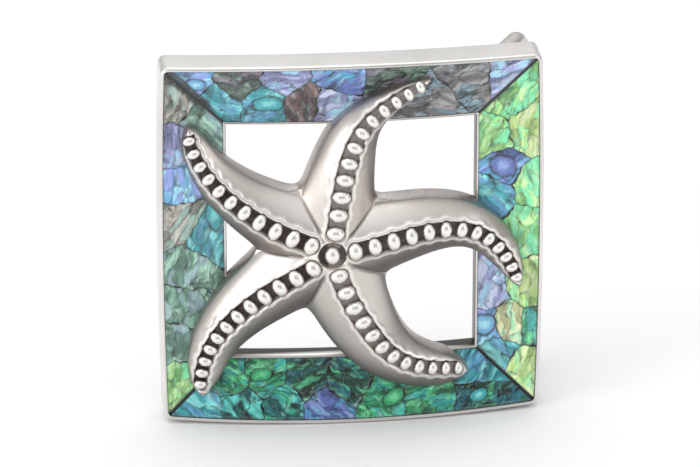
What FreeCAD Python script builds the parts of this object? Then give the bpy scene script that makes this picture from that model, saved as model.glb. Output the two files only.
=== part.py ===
"""Belt buckle: a curved square box-built plate with a shell mosaic and a cast starfish.

Units are millimetres.  The plate stands upright and faces -Y, with +X to its right and
+Z up.  Everything is drawn about the plate's centre, where Y = 0 is the middle of the
front face, and is then moved so that the origin is the root of the prong on the back.
"""
import FreeCAD, Part
import math
import os
import re
import Sketcher
from FreeCAD import Placement, Rotation, Vector

doc = FreeCAD.newDocument("BeltBuckle")

# ---------------------------------------------------------------- driving dimensions
DIMENSIONS = [
    # the plate: a square box bent about a vertical axis behind it
    ("plate_half", 24.0),
    ("side_bow", 0.4),
    ("corner_radius", 1.1),
    ("crown_radius", 115.0),
    ("wall_depth", 5.5),
    ("rim_width", 0.8),
    ("band_width", 8.2),
    ("lip_width", 0.3),
    ("liner_width", 0.8),
    ("dish_depth", 2.4),
    ("tray_depth", 1.2),
    ("sheet_thickness", 0.7),
    ("back_sheet", 0.8),
    # the mosaic
    ("chip_thickness", 0.9),
    ("joint_gap", 0.16),
    ("mitre_gap", 0.3),
    # the starfish
    ("hub_x", -3.0),
    ("hub_z", 0.0),
    ("arm_root_width", 11.5),
    ("ridge_height", 3.0),
    ("ridge_tip_height", 0.9),
    ("shoulder_drop", 0.5),
    ("web_width", 1.5),
    ("web_drop", 0.3),
    ("bead_radius", 0.78),
    ("bead_tip_radius", 0.42),
    # the strap bail and its hinge
    ("wire_diameter", 2.4),
    ("hinge_clearance", 0.05),
    ("tube_wall", 0.5),
    ("tube_half_length", 18.9),
    ("foot_width", 2.6),
    ("foot_height", 0.3),
    ("hinge_inset", 5.4),
    ("bail_half_height", 20.7),
    ("bail_reach", 10.0),
    ("bail_pin_length", 8.0),
    ("bail_root_bend", 1.7),
    ("bail_corner_bend", 2.6),
    ("bail_rest_angle", 62.0),
    # the prong
    ("prong_inset", 4.0),
    ("prong_radius", 1.75),
    ("prong_length", 4.6),
    ("prong_tilt", 20.0),
    ("collar_radius", 2.5),
    ("collar_height", 0.9),
    ("base_width", 6.6),
    ("base_height", 11.0),
    ("base_thickness", 0.9),
]

sheet = doc.addObject("Spreadsheet::Sheet", "Sizes")
for row, (alias, value) in enumerate(DIMENSIONS, start=1):
    sheet.set("A%d" % row, alias)
    sheet.set("B%d" % row, str(value))
    sheet.setAlias("B%d" % row, alias)
doc.recompute()

ALIASES = [alias for alias, value in DIMENSIONS]

# places that follow the plate's outer edge
FOLLOWERS = {
    "window_half": "(plate_half - band_width)",
    "hinge_x": "(plate_half - hinge_inset)",
    "prong_x": "(prong_inset - plate_half)",
}


def spelled_out(expression):
    """An expression with each follower written in the sheet's aliases."""
    for follower, meaning in FOLLOWERS.items():
        expression = re.sub(r"\b%s\b" % follower, meaning, expression)
    return expression


def size(alias):
    """The number in the cell with this alias."""
    return float(sheet.get(alias))


def bind(obj, prop, expression):
    """Bind a property to an expression written with the sheet's aliases."""
    pattern = r"\b(%s)\b" % "|".join(ALIASES)
    obj.setExpression(prop, re.sub(pattern, r"Sizes.\1", spelled_out(expression)))


def number_of(expression):
    """The value of an expression written with the sheet's aliases."""
    pattern = r"\b(%s)\b" % "|".join(ALIASES)
    text = re.sub(pattern, lambda found: "(%r)" % size(found.group(1)),
                  spelled_out(expression))
    return float(FreeCAD.Units.Quantity(text))


# ---------------------------------------------------------------- sketches
TOP_PLANE = Placement()
FRONT_PLANE = Placement(Vector(), Rotation(Vector(1, 0, 0), 90))
SIDE_PLANE = Placement(Vector(), Rotation(Vector(0, 1, 0), Vector(0, 0, 1), Vector(1, 0, 0)))
FAR = 30.0


def pin_point(sketch, edge, place, expressions):
    """Fix one end of an edge at a pair of expressions measured from the origin."""
    for kind, expression in zip(("DistanceX", "DistanceY"), expressions):
        value = number_of(expression)
        index = sketch.addConstraint(Sketcher.Constraint(kind, -1, 1, edge, place, value))
        bind(sketch, "Constraints[%d]" % index, expression)


def join_loop(sketch, count):
    """Join each edge's end to the next edge's start."""
    for edge in range(count):
        follower = (edge + 1) % count
        sketch.addConstraint(Sketcher.Constraint("Coincident", edge, 2, follower, 1))


def polygon_sketch(name, plane, corners):
    """A closed outline of straight edges; each corner is a pair of expressions."""
    sketch = doc.addObject("Sketcher::SketchObject", name)
    sketch.Placement = plane
    count = len(corners)
    ring = [Vector(math.cos(math.tau * k / count), math.sin(math.tau * k / count), 0)
            for k in range(count)]
    for k in range(count):
        sketch.addGeometry(Part.LineSegment(ring[k], ring[(k + 1) % count]), False)
    join_loop(sketch, count)
    for k, corner in enumerate(corners):
        pin_point(sketch, k, 1, corner)
    return sketch


def bowed_square_sketch(name, half):
    """A square whose four sides bow outward by side_bow between its corners."""
    sketch = doc.addObject("Sketcher::SketchObject", name)
    sketch.Placement = FRONT_PLANE
    start, bow = number_of(half), size("side_bow")
    arc_radius = "((%s) * (%s) + side_bow * side_bow) / (2 * side_bow)" % (half, half)
    signs = [(-1, -1), (1, -1), (1, 1), (-1, 1)]
    for k in range(4):
        here, there = signs[k], signs[(k + 1) % 4]
        middle = Vector(here[0] + there[0], here[1] + there[1], 0) * (start + bow) / 2
        ends = [Vector(p[0], p[1], 0) * start for p in (here, there)]
        sketch.addGeometry(Part.Arc(ends[0], middle, ends[1]), False)
    join_loop(sketch, 4)
    for k, sign in enumerate(signs):
        pin_point(sketch, k, 1, ["%d * (%s)" % (s, half) for s in sign])
    for k in range(4):
        value = number_of(arc_radius)
        index = sketch.addConstraint(Sketcher.Constraint("Radius", k, value))
        bind(sketch, "Constraints[%d]" % index, arc_radius)
    return sketch


# ---------------------------------------------------------------- solids from sketches
def prism(name, sketch, direction):
    """A sketch extruded FAR both ways along a direction."""
    solid = doc.addObject("Part::Extrusion", name)
    solid.Base = sketch
    solid.DirMode = "Custom"
    solid.Dir = direction
    solid.LengthFwd = FAR
    solid.LengthRev = FAR
    solid.Solid = True
    return solid


def boolean(kind, name, base, tool):
    """A Part::Cut, Part::Common or Part::Fuse of two objects."""
    result = doc.addObject("Part::" + kind, name)
    result.Base = base
    result.Tool = tool
    return result


def square_prism(name, half):
    """A square prism along Y whose half side is an expression."""
    solid = doc.addObject("Part::Box", name)
    bind(solid, "Length", "2 * (%s)" % half)
    bind(solid, "Height", "2 * (%s)" % half)
    solid.Width = 2 * FAR
    bind(solid, "Placement.Base.x", "-(%s)" % half)
    bind(solid, "Placement.Base.z", "-(%s)" % half)
    solid.Placement.Base.y = -FAR
    return solid


def crown_cylinder(name, depth):
    """Everything behind the curved surface that lies this far behind the front."""
    solid = doc.addObject("Part::Cylinder", name)
    bind(solid, "Radius", "crown_radius - (%s)" % depth)
    solid.Height = 2 * FAR
    bind(solid, "Placement.Base.y", "crown_radius")
    solid.Placement.Base.z = -FAR
    return solid


def behind_dish(name, offset):
    """Everything behind the dished face, moved back by an offset.

    The face falls from the outer edge to the window on all four sides.  A revolved
    profile gives the upper and lower slopes, a straight prism gives the other two,
    and the two together meet along the mitres.
    """
    edge = "(plate_half + side_bow)"
    outer, inner = "(%s)" % offset, "(dish_depth + %s)" % offset
    profile = polygon_sketch(name + "Profile", SIDE_PLANE, [
        (outer, "-" + edge), (inner, "-window_half"), (inner, "window_half"),
        (outer, edge), ("%g" % FAR, edge), ("%g" % FAR, "-" + edge)])
    turned = doc.addObject("Part::Revolution", name + "Slopes")
    turned.Source = profile
    turned.Axis = Vector(0, 0, 1)
    bind(turned, "Base.y", "crown_radius")
    turned.Angle = FAR
    turned.Symmetric = True
    turned.Solid = True
    drop = "crown_radius - sqrt((crown_radius - %s) ^ 2 - %s ^ 2)"
    low, high = drop % (inner, "window_half"), drop % (outer, edge)
    section = polygon_sketch(name + "Section", TOP_PLANE, [
        ("-" + edge, high), ("-window_half", low), ("window_half", low),
        (edge, high), (edge, "%g" % FAR), ("-" + edge, "%g" % FAR)])
    sides = prism(name + "Sides", section, Vector(0, 0, 1))
    return boolean("Fuse", name, turned, sides)


# ---------------------------------------------------------------- the plate
outline = prism("Outline", bowed_square_sketch("OutlineSketch", "plate_half"), Vector(0, 1, 0))
doc.recompute()


def edges_along_y(shape):
    """Numbers of the straight edges that run along Y."""
    found = []
    for number, edge in enumerate(shape.Edges, start=1):
        if abs(abs(edge.tangentAt(edge.FirstParameter).y) - 1) < 1e-6:
            found.append(number)
    return found


rounded = doc.addObject("Part::Fillet", "RoundedOutline")
rounded.Base = outline
radius = size("corner_radius")
rounded.Edges = [(number, radius, radius) for number in edges_along_y(outline.Shape)]

front_surface = crown_cylinder("FrontSurface", "0")
back_surface = crown_cylinder("BackSurface", "wall_depth")
window = square_prism("Window", "window_half")
lip = square_prism("Lip", "window_half + lip_width")
liner = square_prism("Liner", "window_half + liner_width")
rim = prism("Rim", bowed_square_sketch("RimSketch", "plate_half - rim_width"), Vector(0, 1, 0))

face = behind_dish("Face", "0")
tray_floor = behind_dish("TrayFloor", "tray_depth")
floor_back = behind_dish("FloorBack", "tray_depth + sheet_thickness")

# the outer block, then the dished face, the tray for the mosaic and the window
front_block = boolean("Common", "FrontBlock", rounded, front_surface)
block = boolean("Cut", "Block", front_block, back_surface)
dish_space = boolean("Cut", "DishSpace", rim, face)
dished = boolean("Cut", "Dished", block, dish_space)
tray_ring = boolean("Cut", "TrayRing", rim, lip)
tray_space = boolean("Cut", "TraySpace", tray_ring, tray_floor)
trayed = boolean("Cut", "Trayed", dished, tray_space)
windowed = boolean("Cut", "Windowed", trayed, window)

# the hollow inside the box, open to the back and closed by the back plate
hollow_ring = boolean("Cut", "HollowRing", rim, liner)
hollow = boolean("Common", "Hollow", hollow_ring, floor_back)
frame_body = boolean("Cut", "FrameBody", windowed, hollow)
frame_body.Label = "frame_body"

sheet_front = crown_cylinder("SheetFront", "wall_depth - back_sheet")
closed_back = boolean("Common", "ClosedBack", hollow, sheet_front)
back_plate = boolean("Cut", "BackPlate", closed_back, back_surface)
back_plate.Label = "back_plate"
doc.recompute()


# ---------------------------------------------------------------- the starfish
# Each arm is one curve from the hub to its tip: tip position, headings at the hub and
# at the tip in degrees from +X, how strongly each heading pulls (a share of the
# straight length), the width near the tip, and how the width falls along the arm.
ARMS = [
    ("upper_left", (-20.5, 16.4), (150, 99), (0.31, 0.40), 2.7, 1.0),
    ("top", (9.7, 22.2), (82, 29), (0.70, 0.44), 1.2, 0.80),
    ("right", (21.3, -7.0), (5, -72), (0.39, 0.62), 3.1, 0.95),
    ("lower_right", (14.6, -17.9), (-74, -3), (0.64, 0.36), 3.4, 1.0),
    ("lower_left", (-19.1, -20.2), (217, 271), (0.42, 0.40), 3.7, 0.95),
]
ARM_SECTIONS = 10
BEADS_PER_ARM = 11
BEAD_SINK = 0.3
TIP_START = 0.84
TIP_END = 0.994
WEB_STEPS = 60
WEB_ROOT = 0.4


def heading(angle):
    return Vector(math.cos(math.radians(angle)), 0, math.sin(math.radians(angle)))


def bend(x):
    """How far the curved plate falls back at this distance from its centre."""
    return size("crown_radius") - math.sqrt(size("crown_radius") ** 2 - x * x)


def arm_curve(arm):
    """The arm's centre line in the XZ plane."""
    name, tip, angles, pulls, end_width, taper = arm
    hub = Vector(size("hub_x"), 0, size("hub_z"))
    scale = size("plate_half") / 24.0
    end = Vector(tip[0] * scale, 0, tip[1] * scale)
    length = (end - hub).Length
    curve = Part.BezierCurve()
    curve.setPoles([hub, hub + heading(angles[0]) * pulls[0] * length,
                    end - heading(angles[1]) * pulls[1] * length, end])
    return curve


def mix(first, last, share):
    return first + (last - first) * share


def ridge(share):
    """Height of the arm's ridge in front of the plate's front surface."""
    return mix(size("ridge_height"), size("ridge_tip_height"), share ** 2)


def arm_section(curve, arm, share):
    """A closed section across the arm: flat back, low walls, two rounded flanks."""
    end_width, taper = arm[4:]
    point = curve.value(share)
    along = curve.tangent(share)[0]
    across = Vector(-along.z, 0, along.x)
    half = mix(size("arm_root_width"), end_width, share ** taper) / 2
    if share > TIP_START:
        half *= math.sqrt(1 - ((share - TIP_START) / (1 - TIP_START)) ** 2)
    top = -ridge(share)
    shoulder = mix(size("shoulder_drop"), -0.15, share)
    flank = mix(shoulder, top, 0.71)
    back = size("wall_depth")

    def corner(offset, depth):
        spot = point + across * offset
        return Vector(spot.x, depth + bend(spot.x), spot.z)

    left, right = corner(-half, shoulder), corner(half, shoulder)
    peak = corner(0, top)
    return Part.Wire([
        Part.makeLine(corner(-half, back), left),
        Part.Arc(left, corner(-half * 0.5, flank), peak).toShape(),
        Part.Arc(peak, corner(half * 0.5, flank), right).toShape(),
        Part.makeLine(right, corner(half, back)),
        Part.makeLine(corner(half, back), corner(-half, back))])


def arm_solid(arm):
    curve = arm_curve(arm)
    shares = [TIP_END * k / (ARM_SECTIONS - 1) for k in range(ARM_SECTIONS)]
    return Part.makeLoft([arm_section(curve, arm, share) for share in shares], True)


def upright(points):
    """A prism along Y over a closed outline of (x, z) points."""
    corners = [Vector(x, -FAR, z) for x, z in points]
    outline_wire = Part.makePolygon(corners + corners[:1])
    return Part.Face(outline_wire).extrude(Vector(0, 2 * FAR, 0))


def outline_spots(arm, side):
    """Points along one side of an arm's outline, from the hub outward."""
    curve = arm_curve(arm)
    end_width, taper = arm[4:]
    spots = []
    for k in range(WEB_STEPS):
        share = 0.1 + 0.5 * k / (WEB_STEPS - 1)
        along = curve.tangent(share)[0]
        half = mix(size("arm_root_width"), end_width, share ** taper) / 2
        across = Vector(-along.z, 0, along.x) * side
        spots.append((curve.value(share) + across * half, across))
    return spots


def web(arm, follower):
    """A flat web in the crotch between an arm and the next one clockwise."""
    hub = Vector(size("hub_x"), 0, size("hub_z"))
    for here, across in outline_spots(arm, -1):
        reach = (here - hub).Length
        there, back_across = min(outline_spots(follower, 1),
                                 key=lambda spot: abs((spot[0] - hub).Length - reach))
        apart = there - here
        if apart.dot(across) > 0 and apart.Length > size("web_width"):
            break
    here, there = here - across * WEB_ROOT, there - back_across * WEB_ROOT
    return upright([(hub.x, hub.z), (here.x, here.z), (there.x, there.z)])


def bead(x, z, height, radius):
    """A ball sunk a little into the ridge."""
    centre = Vector(x, bend(x) - height + radius * BEAD_SINK, z)
    return Part.makeSphere(radius, centre, Vector(0, 1, 0))


def arm_beads(arm):
    curve = arm_curve(arm)
    beads = []
    for k in range(BEADS_PER_ARM):
        share = 0.09 + 0.85 * k / (BEADS_PER_ARM - 1)
        point = curve.value(share)
        radius = mix(size("bead_radius"), size("bead_tip_radius"), share)
        beads.append(bead(point.x, point.z, ridge(share), radius))
    return beads


arms = [arm_solid(arm) for arm in ARMS]
beads = [bead(size("hub_x"), size("hub_z"), size("ridge_height"), size("bead_radius"))]
for arm in ARMS:
    beads += arm_beads(arm)

# the casting sits down into the trays and on the window's lip
lip_seat = lip.Shape.common(face.Shape)
web_top = crown_cylinder("WebTop", "shoulder_drop + web_drop")
doc.recompute()
webs = [web(arm, follower).common(web_top.Shape)
        for arm, follower in zip(ARMS, ARMS[1:] + ARMS[:1])]
seated = arms[0].fuse(arms[1:] + webs).common(rim.Shape).cut(lip_seat).cut(tray_floor.Shape)
starfish = doc.addObject("Part::Feature", "Starfish")
starfish.Shape = seated.fuse(beads)
starfish.Label = "starfish"

# ---------------------------------------------------------------- the shell mosaic
# One seed (x, z) for each chip.  A chip is the part of its tray nearest to its seed.
SIDES = ("top", "right", "bottom", "left")
SEEDS = {
    "top": [(-20.2, 21.8), (-17.0, 19.0), (-14.4, 22.3), (-10.6, 18.8), (-8.6, 22.4),
            (-6.1, 19.2), (-2.8, 18.7), (-2.0, 22.6), (4.6, 22.3), (10.0, 18.2),
            (14.4, 21.6), (20.0, 21.8)],
    "right": [(19.8, 18.4), (22.8, 14.0), (17.6, 12.6), (19.2, 8.6), (22.9, 6.6),
              (17.6, 5.2), (22.7, 0.2), (17.6, -8.2), (22.4, -7.6), (16.9, -13.0),
              (20.5, -12.6), (23.2, -12.8), (18.9, -17.2), (22.2, -18.8)],
    "bottom": [(-19.4, -22.6), (-14.2, -22.2), (-15.6, -18.4), (-11.3, -18.3),
               (-9.0, -22.3), (-5.6, -18.4), (-3.4, -22.6), (-0.4, -19.2),
               (3.6, -21.8), (9.8, -22.4), (16.4, -22.4), (16.6, -18.6)],
    "left": [(-22.6, 19.6), (-18.2, 16.4), (-22.7, 13.0), (-22.3, 8.2), (-22.3, 3.2),
             (-17.5, 0.4), (-20.7, -3.2), (-21.6, -8.6), (-22.8, -13.4), (-22.2, -19.2)],
}
SMALLEST_CHIP = 0.05


def quarter(side, inset):
    """The quarter of the plate that holds one side, its mitres moved in by an inset."""
    angle = -90 * SIDES.index(side)
    start = inset * math.sqrt(2)
    wedge = upright([(0, start), (-FAR, FAR + start), (FAR, FAR + start)])
    wedge.rotate(Vector(), Vector(0, -1, 0), angle)
    return wedge


def nearer(points, seed, other, gap):
    """Clip an outline to the side nearer to seed than to other, less half a gap."""
    step = (other[0] - seed[0], other[1] - seed[1])
    length = math.hypot(*step)
    normal = (step[0] / length, step[1] / length)
    limit = length / 2 - gap / 2

    def beyond(point):
        return (point[0] - seed[0]) * normal[0] + (point[1] - seed[1]) * normal[1] - limit

    clipped = []
    for here, there in zip(points, points[1:] + points[:1]):
        first, last = beyond(here), beyond(there)
        if first <= 0:
            clipped.append(here)
        if first * last < 0:
            share = first / (first - last)
            clipped.append((mix(here[0], there[0], share), mix(here[1], there[1], share)))
    return clipped


def cell(seed, seeds):
    """The outline of everything nearest to one seed."""
    points = [(-FAR, -FAR), (FAR, -FAR), (FAR, FAR), (-FAR, FAR)]
    for other in seeds:
        if other != seed:
            points = nearer(points, seed, other, size("joint_gap"))
    return points


def solids_of(shape):
    """The shape's solids, without slivers."""
    kept = [solid for solid in shape.Solids if solid.Volume > SMALLEST_CHIP]
    return kept[0] if len(kept) == 1 else Part.makeCompound(kept)


chip_floor = behind_dish("ChipFloor", "chip_thickness")
doc.recompute()
bed_ring = tray_ring.Shape.common(face.Shape).cut(tray_floor.Shape).cut(seated)
chip_ring = bed_ring.cut(chip_floor.Shape)
scale = size("plate_half") / 24.0
mosaic = []
for side in SIDES:
    layer = chip_ring.common(quarter(side, size("mitre_gap") / 2))
    seeds = [(x * scale, z * scale) for x, z in SEEDS[side]]
    chips = []
    for number, seed in enumerate(seeds, start=1):
        chip = doc.addObject("Part::Feature", "Shell%s%02d" % (side.title(), number))
        chip.Shape = solids_of(layer.common(upright(cell(seed, seeds))))
        chip.Label = "shell_%s_%02d" % (side, number)
        chips.append(chip)
    resin = doc.addObject("Part::Feature", "Resin" + side.title())
    resin.Shape = solids_of(bed_ring.common(quarter(side, 0)).cut([c.Shape for c in chips]))
    resin.Label = "resin_" + side
    mosaic += chips + [resin]

# ---------------------------------------------------------------- bodies made in PartDesign
def new_body(name):
    return doc.addObject("PartDesign::Body", name)


def body_sketch(body, name, role):
    """A sketch on one of the body's own origin planes."""
    plane = [p for p in body.Origin.OriginFeatures if p.Role == role][0]
    sketch = body.newObject("Sketcher::SketchObject", name)
    sketch.AttachmentSupport = (plane, [""])
    sketch.MapMode = "FlatFace"
    return sketch


def add_circle(sketch, radius_expression):
    """A circle about the sketch's origin."""
    edge = sketch.addGeometry(Part.Circle(Vector(), Vector(0, 0, 1), 1.0), False)
    sketch.addConstraint(Sketcher.Constraint("Coincident", edge, 3, -1, 1))
    index = sketch.addConstraint(Sketcher.Constraint("Radius", edge, 1.0))
    bind(sketch, "Constraints[%d]" % index, radius_expression)


def add_outline(sketch, corners):
    """Straight edges through corners given as pairs of expressions, closed."""
    first = sketch.GeometryCount
    count = len(corners)
    for k in range(count):
        turn = [math.tau * (k + step) / count for step in (0, 1)]
        ends = [Vector(math.cos(a), math.sin(a), 0) for a in turn]
        sketch.addGeometry(Part.LineSegment(*ends), False)
    for k in range(count):
        follower = first + (k + 1) % count
        sketch.addConstraint(Sketcher.Constraint("Coincident", first + k, 2, follower, 1))
        pin_point(sketch, first + k, 1, corners[k])


# hinge tube: a tube with a narrow foot that is soldered to the back plate
BORE = "(wire_diameter / 2 + hinge_clearance)"
OUTSIDE = "(wire_diameter / 2 + hinge_clearance + tube_wall)"
tube = new_body("HingeTubeBody")
tube_section = body_sketch(tube, "TubeSection", "XY_Plane")
add_circle(tube_section, OUTSIDE)
tube_pad = tube.newObject("PartDesign::Pad", "TubePad")
tube_pad.Profile = tube_section
bind(tube_pad, "Length", "2 * tube_half_length")
tube_pad.Midplane = True
foot_section = body_sketch(tube, "FootSection", "XY_Plane")
add_outline(foot_section, [
    ("-foot_width / 2", "-(%s + foot_height + 1)" % OUTSIDE),
    ("foot_width / 2", "-(%s + foot_height + 1)" % OUTSIDE),
    ("foot_width / 2", "0"), ("-foot_width / 2", "0")])
foot_pad = tube.newObject("PartDesign::Pad", "FootPad")
foot_pad.Profile = foot_section
bind(foot_pad, "Length", "2 * tube_half_length")
foot_pad.Midplane = True
bore_section = body_sketch(tube, "BoreSection", "XY_Plane")
add_circle(bore_section, BORE)
bore_cut = tube.newObject("PartDesign::Pocket", "BoreCut")
bore_cut.Profile = bore_section
bore_cut.Type = "ThroughAll"
bore_cut.Midplane = True
HINGE_Y = ("crown_radius - sqrt((crown_radius - wall_depth) ^ 2 - hinge_x ^ 2)"
           " + %s + foot_height" % OUTSIDE)
bind(tube, "Placement.Base.x", "hinge_x")
bind(tube, "Placement.Base.y", HINGE_Y)
hinge_tube = boolean("Common", "HingeTube", tube, back_surface)
hinge_tube.Label = "bail_hinge_tube"

# strap bail: one bent wire whose two ends turn in the hinge tube
bail = new_body("StrapBail")
route = body_sketch(bail, "WireRoute", "XZ_Plane")
pin_start = "(tube_half_length - bail_pin_length)"
root_turn = "(bail_half_height - bail_root_bend)"
corner_turn = "(bail_half_height - bail_corner_bend)"
STRAIGHTS = [
    (("0", "-" + pin_start), ("0", "-" + root_turn)),
    (("bail_root_bend", "-bail_half_height"),
     ("bail_reach - bail_corner_bend", "-bail_half_height")),
    (("bail_reach", "-" + corner_turn), ("bail_reach", corner_turn)),
    (("bail_reach - bail_corner_bend", "bail_half_height"),
     ("bail_root_bend", "bail_half_height")),
    (("0", root_turn), ("0", pin_start)),
]


def sketch_point(pair):
    return Vector(number_of(pair[0]), number_of(pair[1]), 0)


def add_route(sketch, straights):
    """Straight runs, each joined to the next by an arc tangent to both."""
    runs = []
    for start, end in straights:
        line = Part.LineSegment(sketch_point(start), sketch_point(end))
        runs.append(sketch.addGeometry(line, False))
        pin_point(sketch, runs[-1], 1, start)
        pin_point(sketch, runs[-1], 2, end)
    for here, there in zip(runs, runs[1:]):
        start, end = sketch.Geometry[here].EndPoint, sketch.Geometry[there].StartPoint
        along = start - sketch.Geometry[here].StartPoint
        along.normalize()
        reach = (end - start).Length / math.sqrt(2)
        turn = (end - start - along * reach).normalize()
        middle = start + turn * reach + (along - turn) * reach / math.sqrt(2)
        arc = sketch.addGeometry(Part.Arc(start, middle, end), False)
        sketch.addConstraint(Sketcher.Constraint("Tangent", here, 2, arc, 1))
        sketch.addConstraint(Sketcher.Constraint("Coincident", arc, 2, there, 1))


add_route(route, STRAIGHTS)
wire_section = body_sketch(bail, "WireSection", "XY_Plane")
bind(wire_section, ".AttachmentOffset.Base.z", "-" + pin_start)
add_circle(wire_section, "wire_diameter / 2")
doc.recompute()
wire = bail.newObject("PartDesign::AdditivePipe", "Wire")
wire.Profile = wire_section
wire.Spine = (route, ["Edge%d" % (k + 1) for k in range(len(route.Shape.Edges))])
bind(bail, "Placement.Base.x", "hinge_x")
bind(bail, "Placement.Base.y", HINGE_Y)
bail.Placement.Rotation = Rotation(Vector(0, 0, 1), size("bail_rest_angle"))
bail.Label = "strap_bail"

# prong base: a small plate soldered on the back plate
base = new_body("ProngBaseBody")
base_section = body_sketch(base, "BaseSection", "XZ_Plane")
add_outline(base_section, [
    ("-base_width / 2", "-base_height / 2"), ("base_width / 2", "-base_height / 2"),
    ("base_width / 2", "base_height / 2"), ("-base_width / 2", "base_height / 2")])
base_pad = base.newObject("PartDesign::Pad", "BasePad")
base_pad.Profile = base_section
base_pad.Length = FAR
base_pad.Midplane = True
doc.recompute()
base_round = base.newObject("PartDesign::Fillet", "BaseRound")
base_round.Base = (base_pad, ["Edge%d" % k for k in edges_along_y(base_pad.Shape)])
bind(base_round, "Radius", "base_width / 4")
bind(base, "Placement.Base.x", "prong_x")
base_surface = crown_cylinder("BaseSurface", "wall_depth + base_thickness")
base_blank = boolean("Common", "BaseBlank", base, back_surface)
prong_base = boolean("Cut", "ProngBase", base_blank, base_surface)
prong_base.Label = "prong_base"

# prong: a leaning round post with a collar at its root and a domed tip
post = new_body("ProngBody")
post_profile = body_sketch(post, "PostProfile", "XZ_Plane")
add_outline(post_profile, [
    ("0", "-3"), ("collar_radius", "-3"), ("collar_radius", "0"), ("prong_radius", "0"),
    ("prong_radius", "prong_length + prong_radius * 0.6"),
    ("0", "prong_length + prong_radius * 0.6")])
post_turn = post.newObject("PartDesign::Revolution", "PostTurn")
post_turn.Profile = post_profile
post_turn.ReferenceAxis = (post_profile, ["V_Axis"])
post_turn.Angle = 360
doc.recompute()


def top_rim(shape):
    """Names of the round edges at the highest point of a turned shape."""
    top = shape.BoundBox.ZMax
    return ["Edge%d" % number for number, edge in enumerate(shape.Edges, start=1)
            if edge.BoundBox.ZMin > top - 1e-6 and edge.Length > 1]


post_dome = post.newObject("PartDesign::Fillet", "PostDome")
post_dome.Base = (post_turn, top_rim(post_turn.Shape))
bind(post_dome, "Radius", "prong_radius * 0.6")
ROOT_Y = ("crown_radius - sqrt((crown_radius - wall_depth - base_thickness) ^ 2"
          " - prong_x ^ 2) + collar_height")
bind(post, "Placement.Base.x", "prong_x")
bind(post, "Placement.Base.y", ROOT_Y)
lean = Vector(math.sin(math.radians(size("prong_tilt"))),
              math.cos(math.radians(size("prong_tilt"))), 0)
post.Placement.Rotation = Rotation(Vector(0, 0, 1), lean)
prong = boolean("Common", "Prong", post, base_surface)
prong.Label = "prong"
doc.recompute()

# ---------------------------------------------------------------- check and write
subparts = [frame_body, back_plate, starfish] + mosaic
subparts += [hinge_tube, bail, prong_base, prong]

for obj in doc.Objects:
    if "Invalid" in obj.State or "Error" in obj.State:
        raise RuntimeError("%s did not build: %s" % (obj.Name, obj.State))

# everything is moved together so that the prong's root is the origin
root = Vector(post.Placement.Base)
os.makedirs("parts", exist_ok=True)
for part in subparts:
    shape = part.Shape.copy()
    if shape.isNull() or not shape.isValid():
        raise RuntimeError("%s has a bad shape" % part.Label)
    shape.translate(-root)
    shape.exportStep("parts/%s.step" % part.Label)
print("%d sub-parts, prong root at %.3f %.3f" % (len(subparts), root.x, root.y))
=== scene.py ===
"""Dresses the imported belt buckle: shell mosaic, cast starfish, silver and studio."""

import math

import bpy
import numpy as np
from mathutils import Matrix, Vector


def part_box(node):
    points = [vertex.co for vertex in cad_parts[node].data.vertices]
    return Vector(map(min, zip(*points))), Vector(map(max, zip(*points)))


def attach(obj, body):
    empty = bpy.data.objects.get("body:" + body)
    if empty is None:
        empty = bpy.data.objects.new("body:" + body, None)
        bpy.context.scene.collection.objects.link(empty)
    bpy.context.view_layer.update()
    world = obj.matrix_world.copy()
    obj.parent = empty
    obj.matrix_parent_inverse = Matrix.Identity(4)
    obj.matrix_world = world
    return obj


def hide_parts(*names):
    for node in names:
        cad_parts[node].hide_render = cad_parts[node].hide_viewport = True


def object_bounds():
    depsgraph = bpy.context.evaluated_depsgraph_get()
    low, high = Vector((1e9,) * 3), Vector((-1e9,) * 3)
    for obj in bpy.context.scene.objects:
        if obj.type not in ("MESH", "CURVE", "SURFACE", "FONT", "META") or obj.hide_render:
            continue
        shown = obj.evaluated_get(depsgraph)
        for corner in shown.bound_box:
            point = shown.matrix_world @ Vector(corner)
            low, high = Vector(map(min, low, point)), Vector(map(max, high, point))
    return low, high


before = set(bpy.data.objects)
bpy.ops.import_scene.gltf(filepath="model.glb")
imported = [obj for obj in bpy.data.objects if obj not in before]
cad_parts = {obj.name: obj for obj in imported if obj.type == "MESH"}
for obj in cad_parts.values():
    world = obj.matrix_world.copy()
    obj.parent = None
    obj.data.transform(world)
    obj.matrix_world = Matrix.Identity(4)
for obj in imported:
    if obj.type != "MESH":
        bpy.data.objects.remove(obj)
cad_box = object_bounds()

MM = 0.001
case_low, case_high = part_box("frame_body")
# The middle of the case from side to side and up and down, at its frontmost depth.
ORIGIN = Vector(((case_low.x + case_high.x) / 2, case_low.y, (case_low.z + case_high.z) / 2))

# ---------------------------------------------------------------- sizes, in millimetres
HALF = 24.0                     # half the plate's side, at its corners
BOW = 0.4                       # how far each side bows out at its middle
CORNER = 1.1                    # radius of the plate's corners
RIM = 0.5                       # width of the case's bright rim
EDGE = 0.35                     # radius of the rim's rounded front edge
BEVEL = 0.07                    # small bevels of the rim and of the window's lip
CASE_DEPTH = 4.7                # the case's depth behind the crown
TRAY_WALL = 0.9                 # how far the tray's walls go behind the face
SNUG = 0.003                    # how far the case ring stays inside its CAD solid
WINDOW = 15.8                   # half the window's side
LIP = 0.3                       # width of the lip around the window
DISH = 2.4                      # how far the face falls from the edge to the window
CROWN = 115.0                   # radius of the plate's curve
MITRE = 0.15                    # half the dark joint between two sides' chips
BED_GAP = 0.06                  # dark joint between a chip and its tray
CHIP_DEPTH, CHIP_ROUND = 0.8, 0.05      # a chip's thickness, and its rounded edge
RESIN_DEPTH, RESIN_SINK = 1.1, 0.07     # the bed's back and front, behind the face
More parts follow.
